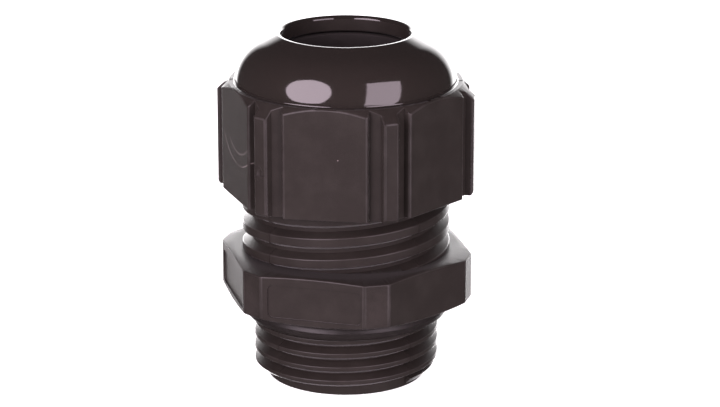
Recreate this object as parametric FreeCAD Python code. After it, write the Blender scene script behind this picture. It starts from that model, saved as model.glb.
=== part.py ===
"""Cable gland with an M20 x 1.5 connection thread, its cap nut screwed part of the way down.

Frame: +Z up along the cable's axis, origin at the centre of the connection thread's end face.
The front of the object is -Y.  Lengths are millimetres, angles are degrees.
"""
import FreeCAD
import Part
import math
import os

V = FreeCAD.Vector
AXIS = V(0, 0, 1)
ORIGIN = V(0, 0, 0)

# how far a cutting or joining shape runs past what it cuts or joins
OVERSHOOT = 1.0
RIDGE_EMBED = 0.4

# connection thread, M20 x 1.5, right-handed, one start
CONNECTION_CREST_R = 9.9
CONNECTION_ROOT_R = 9.0
CONNECTION_PITCH = 1.5
CONNECTION_CREST_HALF = 0.22
CONNECTION_BASE_HALF = 0.70
CONNECTION_START_ANGLE = -43.0
CONNECTION_START_Z = 0.66
CONNECTION_TOP_Z = 6.75
PILOT_R = 8.55
PILOT_TOP_Z = 1.2
PILOT_CHAMFER = 0.3

# sealing ring under the flange, 18 x 2
RING_CENTRE_R = 10.0
RING_SECTION_R = 0.97
RING_Z = 7.75

# hexagon of the body, 25 mm key
BODY_HEX_ACROSS = 24.9
BODY_HEX_TURN = 13.8
BODY_HEX_CORNER_CUT = 1.55
BODY_HEX_BOTTOM_Z = 8.75
BODY_HEX_TOP_Z = 14.2
BODY_BEVEL_R = 11.9
BODY_TOP_BEVEL_SLOPE = 9.0
BODY_BOTTOM_BEVEL_SLOPE = 15.0
PANEL_DEPTH = 0.15
PANEL_LEFT = -4.9
PANEL_RIGHT = 5.35
PANEL_LOW_Z = 9.55
PANEL_HIGH_Z = 13.15
PANEL_CORNER_R = 0.6
PANEL_FACES = (-30.0, -90.0, -150.0, 90.0)

# thread under the cap nut, right-handed, two starts
NUT_THREAD_STARTS = 2
NUT_THREAD_PITCH = 2.3
NUT_THREAD_LEAD = NUT_THREAD_STARTS * NUT_THREAD_PITCH
NUT_THREAD_CREST_R = 11.1
NUT_THREAD_ROOT_R = 10.1
NUT_THREAD_CREST_HALF = 0.45
NUT_THREAD_BASE_HALF = 0.95
NUT_THREAD_FRONT_Z = 15.6
SPIGOT_TOP_Z = 23.2
COLLAR_TOP_Z = 23.6
THREAD_CLEARANCE = 0.12

# bores of the body
CABLE_BORE_R = 6.9
CAGE_BORE_R = 8.45
CAGE_LEDGE_Z = 15.9
BORE_CHAMFER = 0.4

# clamping fingers round the sealing insert
FINGER_COUNT = 12
FINGER_SLOT = 0.9
FINGER_INNER_R = 8.6
FINGER_OUTER_R = 9.9
FINGER_ROOT_Z = 23.8
FINGER_TIP_Z = 30.3
FINGER_TIP_BEVEL = 0.35
FINGER_CLOSING = 0.8

# sealing insert
INSERT_R = 8.2
INSERT_TIP_R = 7.5
INSERT_BORE_R = 6.6
INSERT_BOTTOM_Z = 21.6
INSERT_SHOULDER_Z = 29.4
INSERT_TOP_Z = 35.85
INSERT_LIP = 0.4

# cap nut
NUT_TURN = -9.8
NUT_TRAVEL = 5.4
NUT_BOTTOM_Z = 20.55
NUT_PAD_APOTHEM = 12.4
NUT_PAD_HALF = 4.5
NUT_GROOVE_APOTHEM = 11.6
NUT_GROOVE_HALF = 5.75
NUT_RIB_R = 13.8
NUT_RIB_HALF = 0.86
NUT_BEVEL_LOW_Z = 31.1
NUT_BEVEL_HIGH_Z = 32.42
NUT_BEVEL_HIGH_R = 12.35
NUT_FOOT_BEVEL = 0.25
DOME_R = 11.75
DOME_SIDE_TOP_Z = 32.3
DOME_SHOULDER_R = 5.2
DOME_SHOULDER_END = 63.0
MOUTH_R = 6.8
LIP_ROUND = 0.45
LIP_TURN = 12.0
THROAT_Z = 36.0
CONE_CLEARANCE = 0.15
RELIEF_R = 11.3
RELIEF_TOP_Z = 28.9
NUT_THREAD_TOP_Z = 25.6
NUT_MINOR_R = 10.35


def polar(radius, angle, z=0.0):
    """The point at a radius and an angle measured from +X, counter-clockwise from above."""
    a = math.radians(angle)
    return V(radius * math.cos(a), radius * math.sin(a), z)


def tube(outer, inner, low, high):
    """A plain tube about Z, or a cylinder where the inner radius is 0."""
    solid = Part.makeCylinder(outer, high - low, V(0, 0, low))
    if inner > 0:
        solid = solid.cut(Part.makeCylinder(inner, high - low, V(0, 0, low)))
    return solid


def revolve(points):
    """The solid turned about Z from a closed outline of (radius, height) points."""
    corners = [V(r, 0, z) for r, z in points]
    outline = Part.makePolygon(corners + corners[:1])
    return Part.Face(outline).revolve(ORIGIN, AXIS, 360)


def prism(points, low, high):
    """The upright prism over a closed outline of vectors."""
    outline = Part.makePolygon(points + points[:1])
    face = Part.Face(outline)
    face.translate(V(0, 0, low))
    return face.extrude(V(0, 0, high - low))


def helical_ridge(root_r, crest_r, crest_half, base_half, lead, start_angle, start_z, height):
    """A right-handed ridge of trapezoid section whose centre line climbs from start_z."""
    path = Part.makeLongHelix(lead, height, crest_r)
    section = Part.makePolygon([
        V(root_r, 0, -base_half),
        V(crest_r, 0, -crest_half),
        V(crest_r, 0, crest_half),
        V(root_r, 0, base_half),
        V(root_r - RIDGE_EMBED, 0, base_half),
        V(root_r - RIDGE_EMBED, 0, -base_half),
        V(root_r, 0, -base_half),
    ])
    sweep = Part.BRepOffsetAPI.MakePipeShell(Part.Wire(path.Edges))
    sweep.setFrenetMode(True)
    sweep.add(section)
    sweep.build()
    sweep.makeSolid()
    ridge = sweep.shape()
    ridge.rotate(ORIGIN, AXIS, start_angle)
    ridge.translate(V(0, 0, start_z))
    return ridge


def nut_thread_ridges(clearance, low, high):
    """The ridges of the nut's thread between two heights, fattened by a clearance."""
    ridges = []
    for start in range(NUT_THREAD_STARTS):
        angle = 360.0 * start / NUT_THREAD_STARTS - 90.0
        turns_down = math.ceil((NUT_THREAD_FRONT_Z - low) / NUT_THREAD_LEAD + 0.5)
        start_z = NUT_THREAD_FRONT_Z - turns_down * NUT_THREAD_LEAD
        height = high - start_z + NUT_THREAD_LEAD / 2
        ridge = helical_ridge(
            NUT_THREAD_ROOT_R,
            NUT_THREAD_CREST_R + clearance,
            NUT_THREAD_CREST_HALF + clearance,
            NUT_THREAD_BASE_HALF + clearance,
            NUT_THREAD_LEAD,
            angle,
            start_z,
            height,
        )
        ridges.append(ridge.common(tube(2 * NUT_THREAD_CREST_R, 0, low, high)))
    return ridges


def body_hexagon():
    """The key hexagon with its flattened corners and turned bevels on both faces."""
    apothem = BODY_HEX_ACROSS / 2
    corner_r = apothem / math.cos(math.radians(30))
    flat_r = corner_r - BODY_HEX_CORNER_CUT / 2
    half_flat = BODY_HEX_CORNER_CUT * math.cos(math.radians(30))
    points = []
    for corner in range(6):
        angle = -90.0 + BODY_HEX_TURN + 60.0 * corner
        side = polar(half_flat, angle + 90.0)
        points += [polar(flat_r, angle) - side, polar(flat_r, angle) + side]
    hexagon = prism(points, BODY_HEX_BOTTOM_Z, BODY_HEX_TOP_Z)
    outer = corner_r + OVERSHOOT
    top_drop = (outer - BODY_BEVEL_R) * math.tan(math.radians(BODY_TOP_BEVEL_SLOPE))
    bottom_rise = (outer - BODY_BEVEL_R) * math.tan(math.radians(BODY_BOTTOM_BEVEL_SLOPE))
    turned = revolve([
        (0, BODY_HEX_BOTTOM_Z),
        (BODY_BEVEL_R, BODY_HEX_BOTTOM_Z),
        (outer, BODY_HEX_BOTTOM_Z + bottom_rise),
        (outer, BODY_HEX_TOP_Z - top_drop),
        (BODY_BEVEL_R, BODY_HEX_TOP_Z),
        (0, BODY_HEX_TOP_Z),
    ])
    return hexagon.common(turned)


def label_panels():
    """The shallow rounded recesses in the hexagon's faces."""
    apothem = BODY_HEX_ACROSS / 2
    panels = []
    for face in PANEL_FACES:
        block = Part.makeBox(
            PANEL_RIGHT - PANEL_LEFT,
            OVERSHOOT + PANEL_DEPTH,
            PANEL_HIGH_Z - PANEL_LOW_Z,
            V(PANEL_LEFT, -apothem - OVERSHOOT, PANEL_LOW_Z),
        )
        upright = [e for e in block.Edges if abs(e.tangentAt(e.FirstParameter).y) > 0.9]
        block = block.makeFillet(PANEL_CORNER_R, upright)
        block.rotate(ORIGIN, AXIS, BODY_HEX_TURN + face)
        panels.append(block)
    return panels


def gland_body():
    """The body: pilot, connection thread, hexagon, upper spigot and its thread, bored right through."""
    core = revolve([
        (0, 0),
        (PILOT_R - PILOT_CHAMFER, 0),
        (PILOT_R, PILOT_CHAMFER),
        (PILOT_R, PILOT_TOP_Z),
        (CONNECTION_ROOT_R, PILOT_TOP_Z + CONNECTION_ROOT_R - PILOT_R),
        (CONNECTION_ROOT_R, BODY_HEX_BOTTOM_Z),
        (NUT_THREAD_ROOT_R, BODY_HEX_TOP_Z - OVERSHOOT),
        (NUT_THREAD_ROOT_R, SPIGOT_TOP_Z),
        (FINGER_OUTER_R, SPIGOT_TOP_Z),
        (FINGER_OUTER_R, COLLAR_TOP_Z),
        (0, COLLAR_TOP_Z),
    ])
    connection = helical_ridge(
        CONNECTION_ROOT_R,
        CONNECTION_CREST_R,
        CONNECTION_CREST_HALF,
        CONNECTION_BASE_HALF,
        CONNECTION_PITCH,
        CONNECTION_START_ANGLE,
        CONNECTION_START_Z,
        CONNECTION_TOP_Z + CONNECTION_PITCH - CONNECTION_START_Z,
    ).common(tube(2 * CONNECTION_CREST_R, 0, 0, CONNECTION_TOP_Z))
    upper = nut_thread_ridges(0.0, BODY_HEX_TOP_Z - RIDGE_EMBED, SPIGOT_TOP_Z)
    body = core
    for piece in [connection] + upper + [body_hexagon()]:
        body = body.fuse(piece)
    bore = revolve([
        (0, -OVERSHOOT),
        (CABLE_BORE_R + BORE_CHAMFER + OVERSHOOT, -OVERSHOOT),
        (CABLE_BORE_R, BORE_CHAMFER),
        (CABLE_BORE_R, CAGE_LEDGE_Z),
        (CAGE_BORE_R, CAGE_LEDGE_Z),
        (CAGE_BORE_R, COLLAR_TOP_Z + OVERSHOOT),
        (0, COLLAR_TOP_Z + OVERSHOOT),
    ])
    for hollow in [bore] + label_panels():
        body = body.cut(hollow)
    return body


def sealing_ring():
    """The sealing ring that lies in the neck under the hexagon."""
    return Part.makeTorus(RING_CENTRE_R, RING_SECTION_R, V(0, 0, RING_Z))


def clamping_finger(index):
    """One of the fingers that the nut's cone presses onto the sealing insert."""
    ring = revolve([
        (FINGER_INNER_R, FINGER_ROOT_Z),
        (FINGER_OUTER_R, FINGER_ROOT_Z),
        (FINGER_OUTER_R, FINGER_TIP_Z - FINGER_TIP_BEVEL),
        (FINGER_OUTER_R - FINGER_TIP_BEVEL, FINGER_TIP_Z),
        (FINGER_INNER_R + FINGER_TIP_BEVEL, FINGER_TIP_Z),
        (FINGER_INNER_R, FINGER_TIP_Z - FINGER_TIP_BEVEL),
    ])
    reach = 2 * FINGER_OUTER_R
    half_step = math.radians(180.0 / FINGER_COUNT)
    inset = FINGER_SLOT / 2 / math.sin(half_step)
    half_width = (reach - inset) * math.tan(half_step)
    wedge = prism([V(inset, 0, 0), V(reach, -half_width, 0), V(reach, half_width, 0)],
                  FINGER_ROOT_Z - OVERSHOOT, FINGER_TIP_Z + OVERSHOOT)
    finger = ring.common(wedge)
    finger.rotate(ORIGIN, AXIS, 360.0 * index / FINGER_COUNT - 90.0)
    return finger


def sealing_insert():
    """The elastomer sleeve that grips the cable, tapered where the fingers close on it."""
    return revolve([
        (INSERT_BORE_R + INSERT_LIP, INSERT_BOTTOM_Z),
        (INSERT_R - INSERT_LIP, INSERT_BOTTOM_Z),
        (INSERT_R, INSERT_BOTTOM_Z + INSERT_LIP),
        (INSERT_R, INSERT_SHOULDER_Z),
        (INSERT_TIP_R, INSERT_TOP_Z - INSERT_LIP),
        (INSERT_TIP_R - INSERT_LIP / 2, INSERT_TOP_Z),
        (INSERT_BORE_R + INSERT_LIP / 2, INSERT_TOP_Z),
        (INSERT_BORE_R, INSERT_TOP_Z - INSERT_LIP),
        (INSERT_BORE_R, INSERT_BOTTOM_Z + INSERT_LIP),
    ])


def nut_prism():
    """The nut's hexagon: a raised pad on each face, with a groove at each side, and a rib at each corner."""
    points = []
    for side in range(6):
        face = -90.0 + NUT_TURN + 60.0 * side
        normal = polar(1, face)
        along = polar(1, face + 90.0)
        pad = [(NUT_GROOVE_APOTHEM, NUT_PAD_HALF), (NUT_PAD_APOTHEM, NUT_PAD_HALF)]
        groove = (NUT_GROOVE_APOTHEM, NUT_GROOVE_HALF)
        points += [normal * n - along * t for n, t in [groove] + pad]
        points += [normal * n + along * t for n, t in pad[::-1] + [groove]]
        rib = polar(NUT_RIB_R, face + 30.0)
        across = polar(NUT_RIB_HALF, face + 120.0)
        points += [rib - across, rib + across]
    return prism(points, NUT_BOTTOM_Z, NUT_BEVEL_HIGH_Z)


def dome_outline():
    """The closed half section of the dome, from the axis over the lip and shoulder to the hexagon."""
    centre_r = DOME_R - DOME_SHOULDER_R
    end = math.radians(DOME_SHOULDER_END)
    slope = math.radians(90.0 - DOME_SHOULDER_END)
    half = end / 2
    shoulder_start = V(DOME_R, 0, DOME_SIDE_TOP_Z)
    shoulder_middle = V(centre_r + DOME_SHOULDER_R * math.cos(half), 0,
                        DOME_SIDE_TOP_Z + DOME_SHOULDER_R * math.sin(half))
    shoulder_end = V(centre_r + DOME_SHOULDER_R * math.cos(end), 0,
                     DOME_SIDE_TOP_Z + DOME_SHOULDER_R * math.sin(end))
    lip_r = MOUTH_R + LIP_ROUND * (1 + math.sin(slope))
    lip = V(lip_r, 0, shoulder_end.z + (shoulder_end.x - lip_r) * math.tan(slope))
    lip_centre = lip + V(-math.sin(slope), 0, -math.cos(slope)) * LIP_ROUND
    lip_turn = math.radians(LIP_TURN)
    lip_crown = lip_centre + V(0, 0, LIP_ROUND)
    lip_end = lip_centre + V(-math.cos(lip_turn), 0, math.sin(lip_turn)) * LIP_ROUND
    foot = V(DOME_R, 0, NUT_BEVEL_HIGH_Z - OVERSHOOT)
    edges = [
        Part.makeLine(V(0, 0, foot.z), foot),
        Part.makeLine(foot, shoulder_start),
        Part.Arc(shoulder_start, shoulder_middle, shoulder_end).toShape(),
        Part.makeLine(shoulder_end, lip),
        Part.Arc(lip, lip_crown, lip_end).toShape(),
        Part.makeLine(lip_end, V(0, 0, lip_end.z)),
        Part.makeLine(V(0, 0, lip_end.z), V(0, 0, foot.z)),
    ]
    return Part.Wire(edges)


def nut_hollow():
    """The space inside the nut: entry, thread relief, closing cone and cable mouth."""
    cone_slope = FINGER_CLOSING / NUT_TRAVEL
    cone_r = FINGER_OUTER_R + CONE_CLEARANCE
    foot_r = cone_r + (FINGER_TIP_Z - RELIEF_TOP_Z) * cone_slope
    head_r = cone_r - (THROAT_Z - FINGER_TIP_Z) * cone_slope
    entry = RELIEF_R - NUT_MINOR_R
    top = DOME_SIDE_TOP_Z + DOME_R
    return revolve([
        (0, NUT_BOTTOM_Z - OVERSHOOT),
        (RELIEF_R, NUT_BOTTOM_Z - OVERSHOOT),
        (RELIEF_R, NUT_BOTTOM_Z),
        (NUT_MINOR_R, NUT_BOTTOM_Z + entry / 2),
        (NUT_MINOR_R, NUT_THREAD_TOP_Z),
        (RELIEF_R, NUT_THREAD_TOP_Z + entry / 2),
        (RELIEF_R, RELIEF_TOP_Z),
        (foot_r, RELIEF_TOP_Z),
        (head_r, THROAT_Z),
        (MOUTH_R, THROAT_Z),
        (MOUTH_R, top),
        (0, top),
    ])


def cap_nut():
    """The domed cap nut."""
    outer = NUT_RIB_R + OVERSHOOT
    bevel = (NUT_BEVEL_HIGH_Z - NUT_BEVEL_LOW_Z) / (NUT_RIB_R - NUT_BEVEL_HIGH_R)
    turned = revolve([
        (0, NUT_BOTTOM_Z),
        (NUT_RIB_R - NUT_FOOT_BEVEL, NUT_BOTTOM_Z),
        (outer, NUT_BOTTOM_Z + NUT_FOOT_BEVEL + outer - NUT_RIB_R),
        (outer, NUT_BEVEL_LOW_Z - (outer - NUT_RIB_R) * bevel),
        (NUT_BEVEL_HIGH_R, NUT_BEVEL_HIGH_Z),
        (0, NUT_BEVEL_HIGH_Z),
    ])
    dome = Part.Face(dome_outline()).revolve(ORIGIN, AXIS, 360)
    shell = nut_prism().common(turned).fuse(dome)
    groove_top = NUT_THREAD_TOP_Z + RIDGE_EMBED
    grooves = nut_thread_ridges(THREAD_CLEARANCE, NUT_BOTTOM_Z - RIDGE_EMBED, groove_top)
    return shell.cut([nut_hollow()] + grooves)


def export(node, shape):
    """Write one node's STEP file and print what it holds."""
    shape.exportStep(f"parts/{node}.step")
    print(f"{node}: valid {shape.isValid()}, solids {len(shape.Solids)}, volume {shape.Volume:.2f} mm3")


os.makedirs("parts", exist_ok=True)
export("gland_body", gland_body())
export("sealing_ring", sealing_ring())
export("sealing_insert", sealing_insert())
export("cap_nut", cap_nut())
for number in range(FINGER_COUNT):
    export(f"clamping_finger_{number + 1:02d}", clamping_finger(number))
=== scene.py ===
"""The looks of a black plastic cable gland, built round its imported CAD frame.

The pieces are modelled in millimetres on the bench and brought to metres when they are finished, so that
each finished piece lies in the frame where the CAD puts it: +Z up along the cable, the front towards -Y.
"""

import logging
import math
from collections.abc import Callable, Sequence
from dataclasses import dataclass
from enum import Enum

import bmesh
import bpy
from mathutils import Matrix, Quaternion, Vector


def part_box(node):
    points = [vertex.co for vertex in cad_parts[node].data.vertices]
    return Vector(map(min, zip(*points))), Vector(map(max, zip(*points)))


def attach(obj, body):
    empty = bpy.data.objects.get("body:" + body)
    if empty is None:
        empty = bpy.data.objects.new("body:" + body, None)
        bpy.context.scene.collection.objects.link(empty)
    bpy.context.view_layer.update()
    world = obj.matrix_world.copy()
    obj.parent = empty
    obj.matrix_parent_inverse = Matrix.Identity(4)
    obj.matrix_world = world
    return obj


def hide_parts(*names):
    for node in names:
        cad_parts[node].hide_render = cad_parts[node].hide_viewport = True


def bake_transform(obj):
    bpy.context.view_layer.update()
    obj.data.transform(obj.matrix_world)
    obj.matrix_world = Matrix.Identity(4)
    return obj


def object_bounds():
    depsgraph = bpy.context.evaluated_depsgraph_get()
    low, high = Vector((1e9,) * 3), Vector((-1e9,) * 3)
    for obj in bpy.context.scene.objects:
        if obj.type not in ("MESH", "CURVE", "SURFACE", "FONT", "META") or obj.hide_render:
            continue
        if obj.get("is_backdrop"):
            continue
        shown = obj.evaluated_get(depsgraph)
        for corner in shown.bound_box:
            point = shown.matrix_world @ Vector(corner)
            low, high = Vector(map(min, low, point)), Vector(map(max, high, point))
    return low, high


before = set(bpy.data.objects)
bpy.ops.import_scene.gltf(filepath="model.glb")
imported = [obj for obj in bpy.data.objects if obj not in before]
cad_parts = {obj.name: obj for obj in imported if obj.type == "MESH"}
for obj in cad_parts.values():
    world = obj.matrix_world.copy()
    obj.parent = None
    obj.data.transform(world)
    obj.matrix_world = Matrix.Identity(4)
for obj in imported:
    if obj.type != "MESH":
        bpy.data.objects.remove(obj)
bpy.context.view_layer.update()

MM = 0.001
WHITE = (1.0, 1.0, 1.0, 1.0)
LEVEL = 0.1
NEAR = 1e-4
FULL_TURN = 2 * math.pi
BODY_STEPS = 160
FLASH_HEIGHT = 0.05
FLASH_HALF = 0.05
FLASH_REACH = 14.0

log = logging.getLogger("cable_gland")

Point = tuple[float, float]


class Element(Enum):
    """What is picked in edit mode."""

    VERTEX = "VERT"
    EDGE = "EDGE"
    FACE = "FACE"


class Joinery(Enum):
    """How one shape is worked with another."""

    UNITE = "UNION"
    CUT = "DIFFERENCE"
    COMMON = "INTERSECT"


# ---------------------------------------------------------------------------------------------- bench


def clear_selection() -> None:
    """Leave nothing selected."""
    bpy.ops.object.select_all(action="DESELECT")


def make_active(obj: bpy.types.Object) -> None:
    """Select one object alone and make it the active one."""
    clear_selection()
    obj.select_set(True)
    bpy.context.view_layer.objects.active = obj


def slope_of(edge: bmesh.types.BMEdge) -> tuple[float, float]:
    """How far each of an edge's two faces looks up.

    Args:
        edge: An edge with two faces.

    Returns:
        The lower and the higher Z of the two face normals.
    """
    low, high = sorted(face.normal.z for face in edge.link_faces)
    return low, high


def middle_of(edge: bmesh.types.BMEdge) -> Vector:
    """The middle of an edge."""
    return (edge.verts[0].co + edge.verts[1].co) / 2


def is_tall(edge: bmesh.types.BMEdge) -> bool:
    """Whether an edge climbs by more than a millimetre."""
    return abs(edge.verts[0].co.z - edge.verts[1].co.z) > 1


class Shape:
    """A mesh on the bench, in millimetres, worked by Blender's own operators."""

    def __init__(self, obj: bpy.types.Object) -> None:
        """Take a new object onto the bench."""
        self.obj = obj

    @classmethod
    def taken(cls, name: str) -> "Shape":
        """Name the primitive that was just added and take it onto the bench."""
        obj = bpy.context.object
        obj.name = name
        obj.data.name = name
        return cls(obj)

    @classmethod
    def block(cls, name: str, low: Vector, high: Vector) -> "Shape":
        """A rectangular block between two corners.

        Args:
            name: The shape's name.
            low: The lowest corner.
            high: The highest corner.

        Returns:
            The new shape.
        """
        clear_selection()
        bpy.ops.mesh.primitive_cube_add(size=1, location=(low + high) / 2, scale=high - low)
        bpy.ops.object.transform_apply(location=True, rotation=True, scale=True)
        return cls.taken(name)

    @classmethod
    def drawn(cls, name: str, corners: Sequence[Point], upright: bool) -> "Shape":
        """An outline drawn corner by corner by extruding a vertex.

        Args:
            name: The shape's name.
            corners: The outline's corners, as (x, y), or as (radius, height) if it stands upright.
            upright: Whether the outline stands in the XZ plane or lies in the XY plane.

        Returns:
            The new shape, an open chain of edges.
        """
        places = [Vector((a, 0, b)) if upright else Vector((a, b, 0)) for a, b in corners]
        clear_selection()
        bpy.ops.mesh.primitive_plane_add(size=1)
        shape = cls.taken(name)
        shape.edit()
        bpy.ops.mesh.select_all(action="SELECT")
        bpy.ops.mesh.merge(type="CENTER")
        bpy.ops.transform.translate(value=places[0])
        for start, end in zip(places, places[1:]):
            bpy.ops.mesh.extrude_vertices_move(TRANSFORM_OT_translate={"value": end - start})
        shape.leave()
        return shape

    @classmethod
    def lathed(cls, name: str, corners: Sequence[Point], steps: int, closed: bool = False) -> "Shape":
        """A solid turned about Z from a half section.

        Args:
            name: The shape's name.
            corners: The section's corners, as (radius, height). An open section starts and ends on the axis.
            steps: How many steps make the full turn.
            closed: Whether the section closes on itself, which leaves a bore.

        Returns:
            The new shape.
        """
        shape = cls.drawn(name, corners, upright=True)
        shape.edit()
        bpy.ops.mesh.select_all(action="SELECT")
        if closed:
            first, last = (Vector((radius, 0, height)) for radius, height in (corners[0], corners[-1]))
            shape.pick(Element.VERTEX, lambda v: min((v.co - first).length, (v.co - last).length) < NEAR)
            bpy.ops.mesh.edge_face_add()
            bpy.ops.mesh.select_all(action="SELECT")
        bpy.ops.mesh.spin(steps=steps, angle=FULL_TURN, axis=(0, 0, 1), center=(0, 0, 0))
        shape.heal()
        shape.leave()
        return shape

    def edit(self) -> None:
        """Go into edit mode on this shape alone."""
        make_active(self.obj)
        bpy.ops.object.mode_set(mode="EDIT")
        bpy.ops.mesh.select_mode(type="VERT")

    def leave(self) -> None:
        """Go back to object mode."""
        bpy.ops.object.mode_set(mode="OBJECT")

    def heal(self) -> None:
        """Merge doubled vertices and turn every face outwards, in edit mode."""
        bpy.ops.mesh.select_all(action="SELECT")
        bpy.ops.mesh.remove_doubles(threshold=NEAR)
        bpy.ops.mesh.normals_make_consistent(inside=False)

    def pick(self, element: Element, test: Callable) -> int:
        """Select the elements that pass a test, and nothing else, in edit mode.

        Args:
            element: Whether vertices, edges or faces are picked.
            test: Says whether one element is picked.

        Returns:
            How many elements were picked.
        """
        bpy.ops.mesh.select_mode(type=element.value)
        bpy.ops.mesh.select_all(action="DESELECT")
        mesh = bmesh.from_edit_mesh(self.obj.data)
        mesh.normal_update()
        every = {Element.VERTEX: mesh.verts, Element.EDGE: mesh.edges, Element.FACE: mesh.faces}[element]
        picked = [item for item in every if test(item)]
        for item in picked:
            item.select_set(True)
        mesh.select_flush_mode()
        bmesh.update_edit_mesh(self.obj.data)
        return len(picked)

    def round_edges(self, test: Callable, width: float, segments: int = 3) -> "Shape":
        """Round the edges that pass a test.

        Args:
            test: Says whether one edge is rounded.
            width: How far the rounding reaches from the edge.
            segments: How many facets it has.

        Returns:
            This shape.
        """
        self.edit()
        if self.pick(Element.EDGE, test):
            bpy.ops.mesh.bevel(offset=width, segments=segments, clamp_overlap=False)
        self.leave()
        return self

    def work(self, way: Joinery, *tools: "Shape") -> "Shape":
        """Unite this shape with others, cut them from it, or keep what it has in common with them.

        Args:
            way: How the shapes are worked.
            tools: The other shapes, which are used up.

        Returns:
            This shape.
        """
        make_active(self.obj)
        for tool in tools:
            modifier = self.obj.modifiers.new(way.name, "BOOLEAN")
            modifier.operation = way.value
            modifier.solver = "MANIFOLD"
            modifier.object = tool.obj
            bpy.ops.object.modifier_apply(modifier=modifier.name)
            bpy.data.objects.remove(tool.obj)
        return self

    def copy(self) -> "Shape":
        """A copy with its own mesh."""
        twin = self.obj.copy()
        twin.data = self.obj.data.copy()
        bpy.context.scene.collection.objects.link(twin)
        return Shape(twin)

    def turned(self, angle: float) -> "Shape":
        """Turn the mesh about Z, counter-clockwise from above, by an angle in degrees."""
        self.obj.data.transform(Matrix.Rotation(math.radians(angle), 4, "Z"))
        return self

    def ring_of(self, count: int, start: float) -> list["Shape"]:
        """Copies of this shape at even steps about Z, of which this shape is the first.

        Args:
            count: How many there are in all.
            start: The angle of the first from where the shape is now, in degrees.

        Returns:
            The shapes.
        """
        others = [self.copy().turned(start + 360.0 * step / count) for step in range(1, count)]
        return [self.turned(start)] + others

    def to_frame(self, sharp: float = 35.0) -> bpy.types.Object:
        """Bring the finished shape from millimetres to the frame's metres and smooth its rounded faces.

        Args:
            sharp: Edges that turn by more than this many degrees stay sharp.

        Returns:
            The finished object.
        """
        self.edit()
        self.heal()
        self.leave()
        self.obj.data.materials.clear()
        self.obj.data.polygons.foreach_set("material_index", [0] * len(self.obj.data.polygons))
        self.obj.scale = (MM, MM, MM)
        bpy.ops.object.transform_apply(location=True, rotation=True, scale=True)
        bpy.ops.object.shade_smooth_by_angle(angle=math.radians(sharp))
        weighted = self.obj.modifiers.new("flat faces stay flat", "WEIGHTED_NORMAL")
        weighted.keep_sharp = True
        bpy.ops.object.modifier_apply(modifier=weighted.name)
        return self.obj


def arc(centre: Point, radius: float, start: float, end: float, steps: int) -> list[Point]:
    """Points along an arc, both ends included.

    Args:
        centre: The arc's centre.
        radius: Its radius.
        start: The angle of its first point, in degrees from the first axis.
        end: The angle of its last point.
        steps: How many chords it has.

    Returns:
        The points, in order.
    """
    angles = [math.radians(start + (end - start) * step / steps) for step in range(steps + 1)]
    return [(centre[0] + radius * math.cos(a), centre[1] + radius * math.sin(a)) for a in angles]


def direction(angle: float) -> Vector:
    """The level unit vector at an angle in degrees from +X."""
    return Vector((math.cos(math.radians(angle)), math.sin(math.radians(angle)), 0))


# --------------------------------------------------------------------------------------------- threads


@dataclass(frozen=True)
class Thread:
    """A right-handed moulded thread of trapezoid section, as ridges round a core, in millimetres.

    The ridge's centre line passes through first_angle at the height first_z.
    """

    root_r: float
    crest_r: float
    crest_half: float
    base_half: float
    lead: float
    first_angle: float
    first_z: float
    embed: float = 0.35
    crest_round: float = 0.13
    steps_a_turn: int = 96

    def ridge(self, name: str, turns: float, grown: float = 0.0) -> Shape:
        """One ridge that climbs from the first point.

        Args:
            name: The shape's name.
            turns: How many turns the ridge makes.
            grown: How far its crest and flanks stand out from their true place.

        Returns:
            The closed ridge, with blunt ends.
        """
        base, crest = self.base_half + grown, self.crest_half + grown
        top = self.crest_r + grown
        corners = [
            (self.root_r - self.embed, -base),
            (self.root_r, -base),
            (top, -crest),
            (top, crest),
            (self.root_r, base),
            (self.root_r - self.embed, base),
        ]
        shape = Shape.drawn(name, corners, upright=True)
        shape.edit()
        bpy.ops.mesh.select_all(action="SELECT")
        bpy.ops.mesh.edge_face_add()
        shape.pick(Element.VERTEX, lambda v: v.co.x > top - 1e-3)
        bpy.ops.mesh.bevel(affect="VERTICES", offset=self.crest_round, segments=3)
        shape.leave()
        screw = shape.obj.modifiers.new("climb", "SCREW")
        screw.axis = "Z"
        screw.angle = FULL_TURN * turns
        screw.screw_offset = self.lead * turns
        screw.steps = round(self.steps_a_turn * turns)
        screw.render_steps = screw.steps
        screw.use_merge_vertices = False
        bpy.ops.object.modifier_apply(modifier=screw.name)
        shape.edit()
        shape.heal()
        bpy.ops.mesh.select_mode(type="EDGE")
        bpy.ops.mesh.select_all(action="DESELECT")
        bpy.ops.mesh.select_non_manifold(extend=False)
        bpy.ops.mesh.fill_holes(sides=0)
        shape.heal()
        shape.leave()
        shape.turned(self.first_angle)
        shape.obj.data.transform(Matrix.Translation((0, 0, self.first_z)))
        return shape


CONNECTION_THREAD = Thread(
    root_r=9.0, crest_r=9.9, crest_half=0.22, base_half=0.70, lead=1.5, first_angle=-43.0, first_z=0.66,
    crest_round=0.06,
)
NUT_THREAD = Thread(
    root_r=10.1, crest_r=11.1, crest_half=0.45, base_half=0.95, lead=4.6, first_angle=-90.0, first_z=15.6,
    crest_round=0.09,
)
NUT_THREAD_STARTS = 2


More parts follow.
